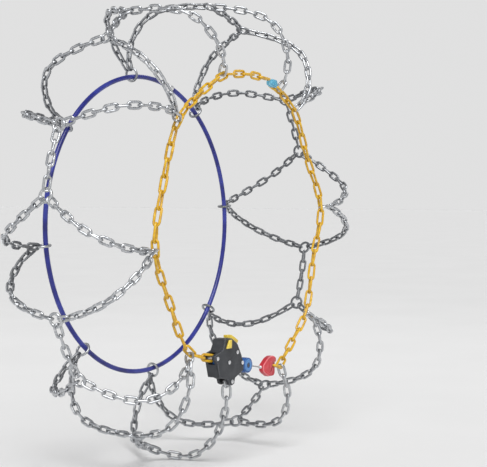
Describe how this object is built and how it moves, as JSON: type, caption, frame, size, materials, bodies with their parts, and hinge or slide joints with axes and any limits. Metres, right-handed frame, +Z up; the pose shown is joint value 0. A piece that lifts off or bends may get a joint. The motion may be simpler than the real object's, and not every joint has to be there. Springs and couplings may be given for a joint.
{
  "type": "tyre snow chains",
  "caption": "Diamond-pattern snow chain net for a passenger tyre, with yellow side chain, blue inner hoop, cable tensioner and hooks.",
  "frame": {"origin": "centre of the tyre that the net is fitted to, on the axle line and in the middle plane of the tread", "axes": "+Y along the axle towards the inside of the wheel, the tensioner and the yellow side chain face -Y, +Z up"},
  "size_m": [0.7501, 0.2579, 0.7586],
  "materials": {
    "zinc_steel": "bright zinc plating, slightly uneven",
    "yellow_paint": "glossy amber-yellow coating, worn at the link contacts",
    "hoop_blue": "smooth royal-blue plastic sleeve",
    "casing_black": "fine-grained moulded nylon",
    "yellow_plastic": "satin moulded plastic",
    "blue_plastic": "satin moulded plastic",
    "red_plastic": "glossy moulded plastic",
    "cyan_plastic": "glossy moulded plastic",
    "pin_steel": "bright plated steel",
    "cable_steel": "laid steel wire"
  },
  "bodies": {
    "root": {"cable_lead": "cable_steel", "casing_back": "casing_black", "casing_cover": "casing_black", "catch_link": "yellow_paint", "chain_pin": "pin_steel", "closure_leg_left": "zinc_steel", "closure_leg_right": "zinc_steel", "end_link": "yellow_paint", "guide_pin": "pin_steel", "hoop_eye": "pin_steel", "hoop_hook": "pin_steel", "inner_cross_chain_1": "zinc_steel", "inner_cross_chain_2": "zinc_steel", "inner_cross_chain_3": "zinc_steel", "inner_cross_chain_4": "zinc_steel", "inner_cross_chain_5": "zinc_steel", "inner_cross_chain_6": "zinc_steel", "inner_cross_chain_7": "zinc_steel", "inner_cross_chain_8": "zinc_steel", "inner_hoop": "hoop_blue", "lever_pin": "pin_steel", "lug_leg": "zinc_steel", "lug_pin": "pin_steel", "outer_cross_chain_2": "zinc_steel", "outer_cross_chain_3": "zinc_steel", "outer_cross_chain_4": "zinc_steel", "outer_cross_chain_6": "zinc_steel", "outer_cross_chain_7": "zinc_steel", "outer_cross_chain_8": "zinc_steel", "rewind_spring": "cable_steel", "side_chain_left": "yellow_paint", "side_chain_right": "yellow_paint", "spool_axle": "pin_steel", "tension_leg_right": "zinc_steel", "tread_run_1": "zinc_steel", "tread_run_2": "zinc_steel", "tread_run_3": "zinc_steel", "tread_run_4": "zinc_steel", "tread_run_5": "zinc_steel", "tread_run_6": "zinc_steel", "tread_run_7": "zinc_steel", "tread_run_8": "zinc_steel"},
    "closing_body": {"closing_chain": "yellow_paint", "closing_hook": "cyan_plastic"},
    "guide_body": {"cable_guide": "blue_plastic", "tension_cable": "cable_steel"},
    "hook_body": {"tension_hook": "red_plastic", "cable_ferrule": "pin_steel"},
    "spool_body": {"cable_spool": "blue_plastic", "cable_winding": "cable_steel"},
    "lever_body": {"release_lever": "yellow_plastic"},
    "pawl_body": {"spool_pawl": "pin_steel"},
    "button_body": {"lock_button": "yellow_plastic"}
  },
  "joints": [
    {"name": "hook_travel", "type": "slide", "parent": "guide_body", "child": "hook_body", "axis": [0.9833, 0, -0.1822], "range_m": [0, 0.05], "deforming": ["tension_cable"]},
    {"name": "guide_swivel", "type": "hinge", "parent": "root", "child": "guide_body", "pos_m": [-0.0425, -0.114, -0.216], "axis": [0, -1, 0], "range_deg": [0, 58]},
    {"name": "spool_spin", "type": "hinge", "parent": "root", "child": "spool_body", "pos_m": [-0.08, -0.114, -0.212], "axis": [0, -1, 0], "range_deg": [0, 205]},
    {"name": "lever_press", "type": "hinge", "parent": "root", "child": "lever_body", "pos_m": [-0.057, -0.114, -0.198], "axis": [0, 1, 0], "range_deg": [0, 10]},
    {"name": "pawl_lift", "type": "hinge", "parent": "root", "child": "pawl_body", "pos_m": [-0.057, -0.107, -0.198], "axis": [0, 1, 0], "range_deg": [0, 10]},
    {"name": "lock_slide", "type": "slide", "parent": "root", "child": "button_body", "axis": [0, 0, 1], "range_m": [0, 0.003]},
    {"name": "closure_swing", "type": "hinge", "parent": "root", "child": "closing_body", "pos_m": [-0.0556, -0.104, 0.2407], "axis": [0, 0, -1], "range_deg": [0, 95]}
  ],
  "couplings": [
    {"joint": "guide_swivel", "follows": "hook_travel", "rad_per_m": 20},
    {"joint": "spool_spin", "follows": "hook_travel", "rad_per_m": 70},
    {"joint": "pawl_lift", "follows": "lever_press", "ratio": 0.9}
  ]
}
